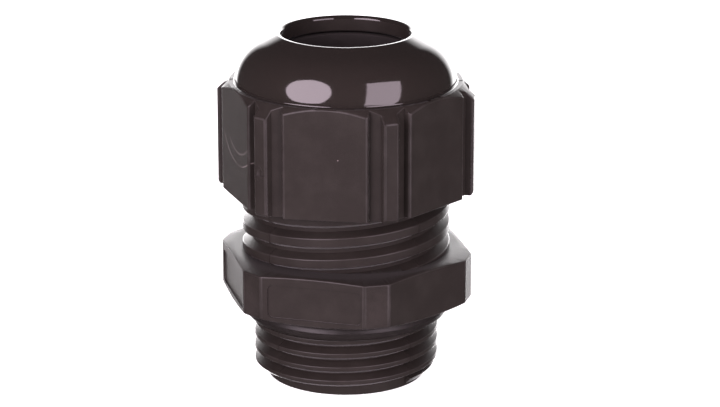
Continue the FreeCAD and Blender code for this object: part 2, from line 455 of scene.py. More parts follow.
def nut_ridges(name: str, low: float, high: float, grown: float) -> list[Shape]:
    """The ridges of the two-start nut thread between two heights.

    Args:
        name: What the ridges are named after.
        low: The lower height.
        high: The upper height.
        grown: How far they are grown, for the clearance of the nut.

    Returns:
        One shape for each start.
    """
    turns_down = math.ceil((NUT_THREAD.first_z - low) / NUT_THREAD.lead + 0.5)
    turns = turns_down + math.ceil((high - NUT_THREAD.first_z) / NUT_THREAD.lead + 0.5)
    ridges = []
    for start in range(NUT_THREAD_STARTS):
        ridge = NUT_THREAD.ridge(f"{name}_{start}", turns, grown)
        ridge.turned(360.0 * start / NUT_THREAD_STARTS)
        ridge.obj.data.transform(Matrix.Translation((0, 0, -turns_down * NUT_THREAD.lead)))
        reach = 2 * NUT_THREAD.crest_r
        slab = Shape.block("slab", Vector((-reach, -reach, low)), Vector((reach, reach, high)))
        ridges.append(ridge.work(Joinery.COMMON, slab))
    return ridges


# -------------------------------------------------------------------------------------------- finishes


class Wire:
    """A shader value that adds Math nodes when it is used in an expression."""

    def __init__(self, graph: "Graph", socket: bpy.types.NodeSocket) -> None:
        """Wrap one output socket of a graph."""
        self.graph = graph
        self.socket = socket

    def math(self, operation: str, first: "Wire | float", second: "Wire | float" = 0.0) -> "Wire":
        """A Math node on two values."""
        return self.graph.node("ShaderNodeMath", {"operation": operation}, {0: first, 1: second}).wire(0)

    def __add__(self, other: "Wire | float") -> "Wire":
        """Add a value."""
        return self.math("ADD", self, other)

    def __radd__(self, other: float) -> "Wire":
        """Add to a number."""
        return self.math("ADD", other, self)

    def __sub__(self, other: "Wire | float") -> "Wire":
        """Take a value away."""
        return self.math("SUBTRACT", self, other)

    def __rsub__(self, other: float) -> "Wire":
        """Take from a number."""
        return self.math("SUBTRACT", other, self)

    def __mul__(self, other: "Wire | float") -> "Wire":
        """Multiply by a value."""
        return self.math("MULTIPLY", self, other)

    def __rmul__(self, other: float) -> "Wire":
        """Multiply a number."""
        return self.math("MULTIPLY", other, self)

    def size(self) -> "Wire":
        """The value without its sign."""
        return self.math("ABSOLUTE", self)

    def ramp(self, low: float, high: float) -> "Wire":
        """A smooth step from 0 at one value to 1 at another."""
        node = self.graph.node(
            "ShaderNodeMapRange",
            {"interpolation_type": "SMOOTHSTEP"},
            {"Value": self, "From Min": low, "From Max": high},
        )
        return node.wire("Result")


class Placed:
    """A node that is in place, whose outputs are taken as wires."""

    def __init__(self, graph: "Graph", node: bpy.types.Node) -> None:
        """Wrap one node of a graph."""
        self.graph = graph
        self.made = node

    def wire(self, output: "str | int") -> Wire:
        """One output, by name or place."""
        return Wire(self.graph, self.made.outputs[output])


class Graph:
    """The node tree of one material, whose patterns are measured in millimetres."""

    def __init__(self, name: str) -> None:
        """Start a material with an empty tree."""
        self.material = bpy.data.materials.new(name)
        self.material.use_nodes = True
        self.tree = self.material.node_tree
        self.tree.nodes.clear()
        place = self.node("ShaderNodeTexCoord").wire("Object")
        scaled = self.node("ShaderNodeMapping", {}, {"Vector": place, "Scale": (1 / MM, 1 / MM, 1 / MM)})
        self.place = scaled.wire("Vector")

    def node(self, kind: str, settings: dict | None = None, sockets: dict | None = None) -> Placed:
        """Add a node.

        Args:
            kind: Its type.
            settings: Its properties, which are set first.
            sockets: The value or wire of each input, by name or place.

        Returns:
            The placed node.
        """
        made = self.tree.nodes.new(kind)
        for key, value in (settings or {}).items():
            setattr(made, key, value)
        for key, value in (sockets or {}).items():
            if isinstance(value, Wire):
                self.tree.links.new(value.socket, made.inputs[key])
            else:
                made.inputs[key].default_value = value
        return Placed(self, made)

    def noise(self, scale: float, detail: float = 3.0, roughness: float = 0.5) -> Wire:
        """Noise with so many features a millimetre."""
        sockets = {"Vector": self.place, "Scale": scale, "Detail": detail, "Roughness": roughness}
        return self.node("ShaderNodeTexNoise", {}, sockets).wire("Fac")

    def specks(self, scale: float, radius: float, share: float) -> Wire:
        """Scattered specks, 1 on a speck and 0 off it.

        Args:
            scale: How many cells there are in a millimetre.
            radius: The radius of a speck, in cells.
            share: The share of the cells that hold one.

        Returns:
            The specks' mask.
        """
        cells = self.node("ShaderNodeTexVoronoi", {}, {"Vector": self.place, "Scale": scale})
        pick = self.node("ShaderNodeSeparateColor", {}, {0: cells.wire("Color")}).wire(0)
        inside = 1.0 - cells.wire("Distance").ramp(0.6 * radius, radius)
        return inside * (1.0 - pick.ramp(share, share + 0.01))

    def arc_scratch(self, centre: Vector, radius: float, width: float, low: float, high: float) -> Wire:
        """A hairline along an arc, where a sphere round a centre meets the surface between two heights.

        Args:
            centre: The sphere's centre, in millimetres.
            radius: Its radius.
            width: The hairline's width.
            low: The lower height.
            high: The upper height.

        Returns:
            The hairline's mask.
        """
        reach = self.node("ShaderNodeVectorMath", {"operation": "DISTANCE"}, {0: self.place, 1: centre})
        off = (reach.wire("Value") - radius).size()
        height = self.node("ShaderNodeSeparateXYZ", {}, {0: self.place}).wire("Z")
        inside = height.ramp(low, low + 0.6) * (1.0 - height.ramp(high - 0.6, high))
        return (1.0 - off.ramp(0.3 * width, width)) * inside

    def blended(self, share: Wire, first: "Wire | tuple", second: "Wire | tuple") -> Wire:
        """A colour between two, by a share."""
        node = self.node("ShaderNodeMix", {"data_type": "RGBA"}, {"Factor": share})
        for place, colour in ((6, first), (7, second)):
            if isinstance(colour, Wire):
                self.tree.links.new(colour.socket, node.made.inputs[place])
            else:
                node.made.inputs[place].default_value = (*colour, 1.0)
        return node.wire(2)

    def grazing(self) -> Wire:
        """1 where the surface is seen nearly edge on, and 0 where it is seen from the front."""
        facing = self.node("ShaderNodeLayerWeight", {}, {"Blend": 0.5}).wire("Facing")
        return facing.ramp(0.45, 0.8)

    def finish(self, colour: Wire, roughness: Wire, height: Wire, depth: float, **constants: float) -> None:
        """Close the tree with a Principled surface.

        Args:
            colour: The base colour.
            roughness: The roughness.
            height: The relief, from 0 to 1.
            depth: How deep the relief is, in millimetres.
            constants: Further inputs that are the same all over, by name with underscores for spaces.
        """
        bump = self.node("ShaderNodeBump", {}, {"Height": height, "Strength": 1.0, "Distance": depth * MM})
        sockets = {"Base Color": colour, "Roughness": roughness, "Normal": bump.wire("Normal")}
        sockets |= {name.replace("_", " "): value for name, value in constants.items()}
        surface = self.node("ShaderNodeBsdfPrincipled", {}, sockets)
        self.node("ShaderNodeOutputMaterial", {}, {"Surface": surface.wire("BSDF")})


@dataclass(frozen=True)
class MouldedPlastic:
    """Black moulded plastic with a fine eroded grain, faint flow clouds and a little dust."""

    name: str
    colour: tuple[float, float, float] = (0.0140, 0.0114, 0.0096)
    # The second tone is what the flow clouds lighten towards; the edge finish in main raises it for wear and
    # a painted highlight on the rounded edges.
    cloud_tone: tuple[float, float, float] = (0.0180, 0.0150, 0.0128)
    dust: tuple[float, float, float] = (0.20, 0.17, 0.165)
    roughness: float = 0.60
    grazing_gloss: float = 0.22
    specular: float = 0.13
    sheen: float = 0.11
    grain: float = 0.012
    grain_scale: float = 9.0
    dust_share: float = 0.006

    def gloss(self) -> dict[str, float]:
        """The surface's constant gloss and sheen."""
        return {"Specular_IOR_Level": self.specular, "Sheen_Weight": self.sheen, "Sheen_Roughness": 0.3}

    def scratches(self, graph: Graph) -> "Wire | float":
        """The mask of the handling scratches. Plain plastic has none."""
        return 0.0

    def material(self) -> bpy.types.Material:
        """The finished material."""
        graph = Graph(self.name)
        clouds = graph.noise(0.35, 4.0, 0.6)
        grain = graph.noise(self.grain_scale, 2.0, 0.6)
        dust = graph.specks(1.3, 0.09, self.dust_share)
        scratch = self.scratches(graph)
        tone = graph.blended(clouds.ramp(0.35, 0.75), self.colour, self.cloud_tone)
        colour = graph.blended(0.5 * scratch + dust, tone, self.dust)
        roughness = self.roughness + 0.10 * (clouds - 0.5) + 0.06 * (grain - 0.5) + 0.2 * dust
        roughness = roughness - self.grazing_gloss * graph.grazing()
        graph.finish(colour, roughness, grain + 0.3 * dust - scratch, self.grain, **self.gloss())
        return graph.material


@dataclass(frozen=True)
class ScuffedPlastic(MouldedPlastic):
    """The nut's moulded plastic, with handling scratches on one of its pads."""

    scratch_centre: tuple[float, float, float] = (-11.22, -5.41, 30.4)
    scratch_radii: tuple[float, float] = (5.8, 4.5)
    scratch_span: tuple[float, float] = (24.4, 27.3)

    def scratches(self, graph: Graph) -> Wire:
        """The mask of one clear arc and one faint one."""
        centre = Vector(self.scratch_centre)
        clear = graph.arc_scratch(centre, self.scratch_radii[0], 0.08, *self.scratch_span)
        return clear + 0.4 * graph.arc_scratch(centre, self.scratch_radii[1], 0.14, *self.scratch_span)


@dataclass(frozen=True)
class PolishedPlastic:
    """The same plastic from a polished mould: glossy, with slow waviness and a few hairlines."""

    name: str
    colour: tuple[float, float, float] = (0.0145, 0.0120, 0.0105)
    dust: tuple[float, float, float] = (0.16, 0.14, 0.14)
    roughness: float = 0.075
    waviness: float = 0.010

    def material(self) -> bpy.types.Material:
        """The finished material."""
        graph = Graph(self.name)
        waves = graph.noise(0.55, 2.0, 0.4)
        film = graph.noise(1.6, 4.0, 0.65)
        dust = graph.specks(1.1, 0.06, 0.008)
        hairline = graph.arc_scratch(Vector((5.2, -12.0, 33.2)), 2.1, 0.05, 34.6, 36.0)
        colour = graph.blended(dust + 0.35 * hairline, self.colour, self.dust)
        roughness = self.roughness + 0.05 * film.ramp(0.5, 0.8) + 0.25 * dust + 0.1 * hairline
        graph.finish(colour, roughness, waves - 0.4 * hairline, self.waviness)
        return graph.material


@dataclass(frozen=True)
class Elastomer:
    """Black sealing rubber, smooth or dull, with a faint bloom."""

    name: str
    roughness: float
    colour: tuple[float, float, float] = (0.0120, 0.0100, 0.0092)
    bloom: tuple[float, float, float] = (0.0170, 0.0145, 0.0135)
    grain: float = 0.004
    specular: float = 0.25

    def material(self) -> bpy.types.Material:
        """The finished material."""
        graph = Graph(self.name)
        clouds = graph.noise(0.8, 4.0, 0.6)
        grain = graph.noise(14.0, 2.0, 0.5)
        colour = graph.blended(clouds.ramp(0.45, 0.8), self.colour, self.bloom)
        roughness = self.roughness + 0.12 * (clouds - 0.5)
        graph.finish(colour, roughness, grain, self.grain, Specular_IOR_Level=self.specular)
        return graph.material


@dataclass(frozen=True)
class PaleFloor:
    """A plain pale studio surface."""

    name: str = "studio_floor"
    colour: tuple[float, float, float] = (0.90, 0.90, 0.91)
    glow: float = 0.8

    def material(self) -> bpy.types.Material:
        """The finished material."""
        graph = Graph(self.name)
        mottle = graph.noise(0.01, 2.0, 0.5)
        darker = tuple(0.98 * part for part in self.colour)
        colour = graph.blended(mottle, self.colour, darker)
        glow = {"Emission_Color": WHITE, "Emission_Strength": self.glow}
        graph.finish(colour, 0.8 + 0.05 * mottle, mottle, 0.01, **glow)
        return graph.material


# ---------------------------------------------------------------------------------------------- pieces


def is_rounding(normal: Vector, turn: float, steepest: float) -> bool:
    """Whether a face belongs to the rounded edge of a hexagon, and not to one of its flats.

    Args:
        normal: The face's normal.
        turn: How far the hexagon is turned, in degrees.
        steepest: The size of the Z part of the normals of the slopes above and below.

    Returns:
        True where the normal lies between those of the flats.
    """
    level = abs(normal.z)
    if level > LEVEL:
        return level < steepest - LEVEL
    off = (math.degrees(math.atan2(normal.y, normal.x)) - turn) % 30.0
    return 3.0 < off < 27.0


def paint(
    obj: bpy.types.Object,
    finishes: Sequence[MouldedPlastic | PolishedPlastic],
    choose: Callable[[Vector, Vector], int],
) -> None:
    """Give each face of an object one of several finishes.

    Args:
        obj: The object.
        finishes: The finishes.
        choose: Which finish a face gets, from its middle in millimetres and its normal.
    """
    for finish in finishes:
        obj.data.materials.append(finish.material())
    for face in obj.data.polygons:
        face.material_index = choose(face.center / MM, face.normal)


@dataclass
class Piece:
    """One piece of the gland: what it stands for in the frame and what it is made of."""

    node: str
    body: str
    slot: str

    def low(self) -> float:
        """The height of the CAD node's lowest point, in millimetres."""
        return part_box(self.node)[0].z / MM

    def high(self) -> float:
        """The height of the CAD node's highest point, in millimetres."""
        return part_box(self.node)[1].z / MM

    def place(self, obj: bpy.types.Object) -> None:
        """Fasten a finished object to its body in place of its CAD node."""
        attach(obj, self.body)
        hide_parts(self.node)
        log.info("%s: %d faces, rides on %s", obj.name, len(obj.data.polygons), self.body)


@dataclass
class GlandBody(Piece):
    """The body: pilot, connection thread, key hexagon, spigot with the nut's thread, and its bores."""

    node: str = "gland_body"
    body: str = "gland_body"
    slot: str = "moulded_plastic"
    pilot_r: float = 8.55
    pilot_top: float = 1.2
    pilot_chamfer: float = 0.3
    thread_top: float = 6.75
    hex_across: float = 24.9
    hex_turn: float = 13.8
    corner_cut: float = 1.55
    hex_low: float = 8.75
    hex_high: float = 14.2
    bevel_r: float = 11.9
    top_slope: float = 9.0
    bottom_slope: float = 15.0
    bevel_round: float = 0.13
    spigot_top: float = 23.2
    collar_r: float = 9.9
    cable_bore_r: float = 6.9
    cage_bore_r: float = 8.45
    ledge_z: float = 15.9
    panel: tuple[float, float, float, float] = (-4.9, 5.35, 9.55, 13.15)
    panel_depth: float = 0.15
    panel_faces: tuple[float, ...] = (-30.0, -90.0, -150.0, 90.0)
    parting: tuple[float, ...] = (-46.2, 43.8)

    def core(self) -> Shape:
        """The turned core with its bores."""
        root, spigot = CONNECTION_THREAD.root_r, NUT_THREAD.root_r
        chamfer, top, neck = self.pilot_chamfer, self.high(), self.hex_low + 0.5
        outside = [
            (self.cable_bore_r + chamfer, 0),
            (self.pilot_r - chamfer, 0),
            (self.pilot_r - 0.09, chamfer - 0.2),
            (self.pilot_r, chamfer),
            (self.pilot_r, self.pilot_top),
            (root, self.pilot_top + root - self.pilot_r),
            (root, neck),
            (spigot, self.hex_high - 1.0),
            (spigot, self.spigot_top - 0.1),
            (spigot - 0.1, self.spigot_top),
            (self.collar_r, self.spigot_top),
            (self.collar_r, top),
        ]
        inside = [
            (self.cage_bore_r, top),
            (self.cage_bore_r, self.ledge_z),
            (self.cable_bore_r + chamfer, self.ledge_z),
            (self.cable_bore_r, self.ledge_z - chamfer),
            (self.cable_bore_r, chamfer),
        ]
        return Shape.lathed("core", outside + inside, steps=BODY_STEPS, closed=True)

    def hexagon(self) -> Shape:
        """The key hexagon with cut corners, rounded edges and shallow turned slopes above and below."""
        apothem = self.hex_across / 2
        corner_r = apothem / math.cos(math.radians(30))
        half_flat = self.corner_cut * math.cos(math.radians(30))
        corners = []
        for corner in range(6):
            angle = -90.0 + self.hex_turn + 60.0 * corner
            middle = direction(angle) * (corner_r - self.corner_cut / 2)
            side = direction(angle + 90.0) * half_flat
            corners += [(middle - side).to_2d().to_tuple(), (middle + side).to_2d().to_tuple()]
        shape = Shape.drawn("hexagon", corners, upright=False)
        height = self.hex_high - self.hex_low
        shape.edit()
        bpy.ops.mesh.select_all(action="SELECT")
        bpy.ops.mesh.edge_face_add()
        bpy.ops.transform.translate(value=(0, 0, self.hex_low))
        bpy.ops.mesh.extrude_region_move(TRANSFORM_OT_translate={"value": (0, 0, height)})
        shape.heal()
        shape.leave()
        shape.round_edges(is_tall, 0.22, 4)
        outer = corner_r + 1
        drop = (outer - self.bevel_r) * math.tan(math.radians(self.top_slope))
        rise = (outer - self.bevel_r) * math.tan(math.radians(self.bottom_slope))
        turned = Shape.lathed("turned", [
            (0, self.hex_low),
            (self.bevel_r, self.hex_low),
            (outer, self.hex_low + rise),
            (outer, self.hex_high - drop),
            (self.bevel_r, self.hex_high),
            (0, self.hex_high),
        ], steps=180)
        shape.work(Joinery.COMMON, turned)
        shape.round_edges(lambda e: slope_of(e)[0] < 0.1 and slope_of(e)[1] > 0.9, self.bevel_round)
        shape.round_edges(lambda e: slope_of(e)[0] < -0.9 and slope_of(e)[1] > -0.1, self.bevel_round)
        inside_wall = (self.cable_bore_r + CONNECTION_THREAD.root_r) / 2
        low, high = self.hex_low - 1, self.hex_high + 1
        section = [(0, low), (inside_wall, low), (inside_wall, high), (0, high)]
        return shape.work(Joinery.CUT, Shape.lathed("way_through", section, steps=64))

    def recess(self) -> Shape:
        """The cutter for one shallow rounded recess, with a chamfered rim, on the face towards -Y."""
        left, right, low, high = self.panel
        face = -self.hex_across / 2
        floor = face + self.panel_depth
        cutter = Shape.block("recess", Vector((left, face - 1, low)), Vector((right, floor, high)))
        cutter.round_edges(lambda e: abs(e.verts[0].co.y - e.verts[1].co.y) > 0.5, 0.6, 6)

        def on_floor(edge: bmesh.types.BMEdge) -> bool:
            """Whether an edge lies round the recess's floor."""
            return min(v.co.y for v in edge.verts) > face and max(f.normal.y for f in edge.link_faces) > 0.9

        return cutter.round_edges(on_floor, 0.05, 2)

    def lead_in(self) -> Shape:
        """The turned form that the connection thread is trimmed to, with a lead-in at the pilot."""
        start, reach = self.pilot_r - self.pilot_chamfer, CONNECTION_THREAD.crest_r + 0.5
        top = self.thread_top
        section = [(0, 0), (start, 0), (reach, reach - start), (reach, top), (0, top)]
        return Shape.lathed("lead_in", section, steps=BODY_STEPS)

    def connection_ridge(self, grown: float) -> Shape:
        """The connection thread's ridge, grown by so much and trimmed to the lead-in."""
        thread = CONNECTION_THREAD
        turns = (self.thread_top - thread.first_z) / thread.lead + 1
        return thread.ridge("connection", turns, grown).work(Joinery.COMMON, self.lead_in())

    def flash(self, ridges: list[Shape], low: float, high: float) -> Shape:
        """The fine raised line that the mould's parting planes leave across a thread.

        Args:
            ridges: Slightly grown ridges of the thread, which are used up.
            low: The lower height.
            high: The upper height.

        Returns:
            The flash lines, to be united with the body.
        """
        whole = ridges[0].work(Joinery.UNITE, *ridges[1:])
        near, far = Vector((-FLASH_REACH, -FLASH_HALF, low)), Vector((FLASH_REACH, FLASH_HALF, high))
        planes = [Shape.block("plane", near, far).turned(angle) for angle in self.parting]
        return whole.work(Joinery.COMMON, planes[0].work(Joinery.UNITE, planes[1]))

    def finish_of(self, middle: Vector, normal: Vector) -> int:
        """Which finish a face has: 0 moulded, 1 grained on the cut corners, 2 on the rounded edges, whose
        lighter tone is partly wear and partly a painted highlight.
        """
        across = middle.to_2d().length
        if self.hex_low < middle.z < self.hex_high and across > NUT_THREAD.crest_r + 0.3:
            corner = (math.degrees(math.atan2(normal.y, normal.x)) - self.hex_turn + 90.0) % 60.0
            if abs(normal.z) < LEVEL and min(corner, 60.0 - corner) < 1.0:
                return 1
            return 2 if is_rounding(normal, self.hex_turn, math.cos(math.radians(self.bottom_slope))) else 0
        thread = CONNECTION_THREAD if middle.z < self.hex_low else NUT_THREAD
        return 2 if across > thread.crest_r - 0.3 and LEVEL < abs(normal.z) < 0.8 else 0

    def build(
        self, finish: MouldedPlastic, grained: MouldedPlastic, edges: MouldedPlastic,
    ) -> bpy.types.Object:
        """Model the body and dress it.

        Args:
            finish: What it is moulded in.
            grained: The finish of the hexagon's cut corners.
            edges: The finish of its rounded edges and thread crests, lighter for wear and a painted
                highlight.

        Returns:
            The finished object.
        """
        body = self.core().work(Joinery.UNITE, self.connection_ridge(0.0))
        body.work(Joinery.UNITE, self.flash([self.connection_ridge(FLASH_HEIGHT)], 0, self.thread_top))
        low, high = self.hex_high - 0.3, self.spigot_top - 0.05
        body.work(Joinery.UNITE, *nut_ridges("upper", low, high, 0.0))
        body.work(Joinery.UNITE, self.flash(nut_ridges("upper_flash", low, high, FLASH_HEIGHT), low, high))
        body.work(Joinery.UNITE, self.hexagon())
        for face in self.panel_faces:
            body.work(Joinery.CUT, self.recess().turned(self.hex_turn + face))
        body.obj.name = "gland_body_moulding"
        obj = body.to_frame()
        paint(obj, (finish, grained, edges), self.finish_of)
        self.place(obj)
        return obj


@dataclass
class SealingRing(Piece):
    """The sealing ring in the neck under the hexagon."""

    node: str = "sealing_ring"
    body: str = "gland_body"
    slot: str = "ring_rubber"
    section_r: float = 0.97
    flash: float = 0.04

    def build(self, finish: Elastomer) -> bpy.types.Object:
        """Model the ring, with the fine flash of its mould, and dress it.

        Args:
            finish: What it is moulded in.

        Returns:
            The finished object.
        """
        middle_z = (self.low() + self.high()) / 2
        middle_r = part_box(self.node)[1].x / MM - self.section_r
        section = arc((middle_r, middle_z), self.section_r, 4.0, 356.0, 30)
        section.append((middle_r + self.section_r + self.flash, middle_z))
        ring = Shape.lathed("sealing_ring_moulding", section, steps=BODY_STEPS, closed=True)
        obj = ring.to_frame(sharp=50.0)
        obj.data.materials.append(finish.material())
        self.place(obj)
        return obj


@dataclass
class SealingInsert(Piece):
    """The elastomer sleeve that grips the cable."""

    node: str = "sealing_insert"
    body: str = "sealing_insert"
    slot: str = "insert_rubber"
    outer_r: float = 8.2
    tip_r: float = 7.5
    bore_r: float = 6.6
    shoulder: float = 29.4
    lip: float = 0.4
    rib_height: float = 0.12
    ribs: int = 6

    def build(self, finish: Elastomer) -> bpy.types.Object:
        """Model the sleeve, with sealing ribs in its bore, and dress it.

        Args:
            finish: What it is moulded in.

        Returns:
            The finished object.
        """
        low, high = self.low(), self.high()
        round_r = self.lip / 2
        outer = self.outer_r
        section = [(outer - self.lip, low), (outer, low + self.lip), (outer, self.shoulder)]
        section += arc((self.tip_r - round_r, high - round_r), round_r, 10.0, 90.0, 5)
        section += arc((self.bore_r + round_r, high - round_r), round_r, 90.0, 180.0, 5)
        first, step = high - 2 * self.lip, (high - low - 4 * self.lip) / self.ribs
        for rib in range(self.ribs):
            top = first - rib * step
            section += [
                (self.bore_r, top - 0.1 * step),
                (self.bore_r + self.rib_height, top - 0.3 * step),
                (self.bore_r + self.rib_height, top - 0.7 * step),
                (self.bore_r, top - 0.9 * step),
            ]
        section += [(self.bore_r, low + self.lip), (self.bore_r + self.lip, low)]
        obj = Shape.lathed("sealing_insert_moulding", section, steps=144, closed=True).to_frame()
        obj.data.materials.append(finish.material())
        self.place(obj)
        return obj


@dataclass
class ClampingFingers:
    """The fingers round the insert, each with the thin web that joins it to the body."""

    count: int = 12
    inner_r: float = 8.6
    outer_r: float = 9.9
    slot_width: float = 0.9
    tip_bevel: float = 0.35
    web_inner_r: float = 9.0
    web_outer_r: float = 9.5
    web_root: float = 0.15
    rounding: float = 0.08

    def model(self) -> Shape:
        """One finger with its web, centred on -Y."""
        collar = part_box("gland_body")[1].z / MM
        foot, tip = (corner.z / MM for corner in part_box("clamping_finger_01"))
        root = collar - self.web_root
        middle_r = (self.inner_r + self.outer_r) / 2
        span = 360.0 / self.count - math.degrees(self.slot_width / middle_r)
        section = [
            (self.web_outer_r, root),
            (self.web_outer_r, foot),
            (self.outer_r, foot),
            (self.outer_r, tip - self.tip_bevel),
            (self.outer_r - self.tip_bevel, tip),
            (self.inner_r + self.tip_bevel, tip),
            (self.inner_r, tip - self.tip_bevel),
            (self.inner_r, foot),
            (self.web_inner_r, foot),
            (self.web_inner_r, root),
        ]
        finger = Shape.drawn("finger", section, upright=True)
        finger.edit()
        bpy.ops.mesh.select_all(action="SELECT")
        bpy.ops.mesh.edge_face_add()
        bpy.ops.mesh.spin(steps=10, angle=math.radians(span), axis=(0, 0, 1), center=(0, 0, 0))
        finger.heal()
        finger.leave()
        start = math.degrees(min(math.atan2(v.co.y, v.co.x) for v in finger.obj.data.vertices))
        finger.turned(-90.0 - start - span / 2)

        def is_corner(edge: bmesh.types.BMEdge) -> bool:
            """Whether an edge above the finger's foot is a sharp one."""
            return middle_of(edge).z > foot + 0.5 and edge.calc_face_angle(0.0) > math.radians(30)

        return finger.round_edges(is_corner, self.rounding, 2)

    def build(self, finish: MouldedPlastic) -> list[bpy.types.Object]:
        """Model one finger, copy it round the body and dress the copies.

        Args:
            finish: What they are moulded in.

        Returns:
            The finished objects.
        """
        material = finish.material()
        made = []
        for number, finger in enumerate(self.model().ring_of(self.count, 0.0), start=1):
            node = f"clamping_finger_{number:02d}"
            finger.obj.name = f"finger_moulding_{number:02d}"
            obj = finger.to_frame()
            obj.data.materials.append(material)
            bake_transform(obj)
            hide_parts(node)
            log.info("%s: %d faces, bends from the body to %s", obj.name, len(obj.data.polygons), node)
            made.append(obj)
        return made


@dataclass
class CapNut(Piece):
    """The cap nut: a hexagon of pads and corner ribs under a polished dome."""

    node: str = "cap_nut"
    body: str = "cap_nut"
    slot: str = "nut_plastic"
    turn: float = -9.8
    pad_apothem: float = 12.4
    pad_half: float = 4.5
    groove_apothem: float = 11.6
    rib_r: float = 13.8
    rib_half: float = 0.86
    edge_round: float = 0.28
    top_round: float = 0.12
    foot_bevel: float = 0.25
    cone_low: float = 31.1
    cone_high: float = 32.42
    cone_high_r: float = 12.35
    dome_r: float = 11.75
    dome_side_top: float = 32.3
    foot_fillet: float = 0.22
    shoulder_r: float = 5.2
    shoulder_end: float = 63.0
    mouth_r: float = 6.8
    lip_round: float = 0.45
    lip_turn: float = 12.0
    throat_z: float = 36.0
    relief_r: float = 11.3
    relief_top: float = 28.9
    thread_top: float = 25.6
    minor_r: float = 10.35
    cone_foot_r: float = 10.26
    cone_head_r: float = 9.21
    thread_clearance: float = 0.12
    dome_steps: int = 240

    def turned_form(self) -> Shape:
        """The turned form that the hexagon is trimmed to: foot bevel, side, cone and ledge."""
        low, outer = self.low(), self.rib_r + 1
        fall = (self.cone_high - self.cone_low) / (self.rib_r - self.cone_high_r)
        return Shape.lathed("turned", [
            (0, low),
            (self.rib_r - self.foot_bevel, low),
            (outer, low + self.foot_bevel + outer - self.rib_r),
            (outer, self.cone_low - fall * (outer - self.rib_r)),
            (self.cone_high_r, self.cone_high),
            (0, self.cone_high),
        ], steps=self.dome_steps)

    def trimmed(self, shape: Shape, width: float) -> Shape:
        """Trim a part of the hexagon to the turned form and round its top and bottom edges.

        Args:
            shape: The part.
            width: How far the rounding reaches from the edges.

        Returns:
            The same part.
        """
        shape.work(Joinery.COMMON, self.turned_form())
        hidden_r = self.groove_apothem - 0.4

        def outside(edge: bmesh.types.BMEdge) -> bool:
            """Whether an edge can be seen once the nut is whole."""
            return middle_of(edge).to_2d().length > hidden_r

        def is_top(edge: bmesh.types.BMEdge) -> bool:
            """Whether an edge that can be seen borders the top slope."""
            low, high = slope_of(edge)
            return outside(edge) and low < 0.1 and high > 0.5

        def is_bottom(edge: bmesh.types.BMEdge) -> bool:
            """Whether an edge that can be seen borders the foot."""
            low, high = slope_of(edge)
            return outside(edge) and low < -0.5 and high > -0.1

        return shape.round_edges(is_top, width).round_edges(is_bottom, width)

    def upright(self, name: str, half: float, back: float, front: float) -> Shape:
        """A pad or a rib that faces -Y, with its outer edges rounded.

        Args:
            name: The shape's name.
            half: Half its width.
            back: How far from the axis its hidden back is.
            front: How far from the axis its face is.

        Returns:
            The shape.
        """
        low, high = Vector((-half, -front, self.low() - 1)), Vector((half, -back, self.cone_high + 1))
        block = Shape.block(name, low, high)
        block.round_edges(lambda e: is_tall(e) and middle_of(e).y < -back - 0.1, self.edge_round, 4)
        return self.trimmed(block, self.top_round)

    def hexagon(self) -> Shape:
        """The hexagon with its pads, grooves and ribs."""
        clear_selection()
        corner_r = self.groove_apothem / math.cos(math.radians(30))
        height = self.cone_high + 2 - self.low()
        bpy.ops.mesh.primitive_cylinder_add(
            vertices=6, radius=corner_r, depth=height, location=(0, 0, self.low() - 1 + height / 2))
        bpy.ops.object.transform_apply(location=True, rotation=True, scale=True)
        base = Shape.taken("hexagon").turned(self.turn + 30.0)
        base = self.trimmed(base, 0.06)
        pad = self.upright("pad", self.pad_half, self.groove_apothem - 1.1, self.pad_apothem)
        rib = self.upright("rib", self.rib_half, self.groove_apothem + 0.4, self.rib_r)
        ribs = rib.ring_of(6, self.turn - 30.0)
        ribs[0].work(Joinery.CUT, self.gate_mark())
        return base.work(Joinery.UNITE, *pad.ring_of(6, self.turn), *ribs)

    def gate_mark(self) -> Shape:
        """The shallow dent where the runner was broken off one of the ribs."""
        angle = -90.0 + self.turn - 30.0
        clear_selection()
        bpy.ops.mesh.primitive_uv_sphere_add(segments=32, ring_count=16, radius=1.0)
        bpy.ops.transform.resize(value=(0.14, 0.5, 0.85))
        bpy.ops.object.transform_apply(location=True, rotation=True, scale=True)
        dent = Shape.taken("gate_mark")
        dent.edit()
        dent.pick(Element.FACE, lambda f: f.normal.x < -0.7 and f.calc_center_median().z < -0.2)
        bpy.ops.mesh.inset(thickness=0.05)
        bpy.ops.transform.translate(value=(0.1, 0.05, 0.05))
        dent.heal()
        dent.leave()
        dent.turned(angle)
        place = direction(angle) * (self.rib_r + 0.02) + Vector((0, 0, 25.1))
        dent.obj.data.transform(Matrix.Translation(place))
        return dent

    def dome(self) -> Shape:
        """The dome and its lip, solid to the axis."""
        end, slope = self.shoulder_end, math.radians(90.0 - self.shoulder_end)
        foot_rise = self.cone_high + self.foot_fillet - self.dome_side_top
        foot_turn = math.degrees(math.asin(foot_rise / self.shoulder_r))
        shoulder_centre = (self.dome_r - self.shoulder_r, self.dome_side_top)
        shoulder = arc(shoulder_centre, self.shoulder_r, foot_turn, end, 20)
        end_r, end_z = shoulder[-1]
        lip_r = self.mouth_r + self.lip_round * (1 + math.sin(slope))
        lip_z = end_z + (end_r - lip_r) * math.tan(slope)
        centre = (lip_r - math.sin(slope) * self.lip_round, lip_z - math.cos(slope) * self.lip_round)
        lip = arc(centre, self.lip_round, end, 180.0 - self.lip_turn, 12)
        foot = self.cone_high - 1.0
        side_r = shoulder[0][0]
        fillet = arc((side_r + self.foot_fillet, self.cone_high + self.foot_fillet), self.foot_fillet + 0.01,
                     270.0, 190.0, 5)
        section = [(0, foot), (fillet[0][0], foot)] + fillet + shoulder + lip + [(0, lip[-1][1])]
        return Shape.lathed("dome", section, steps=self.dome_steps)

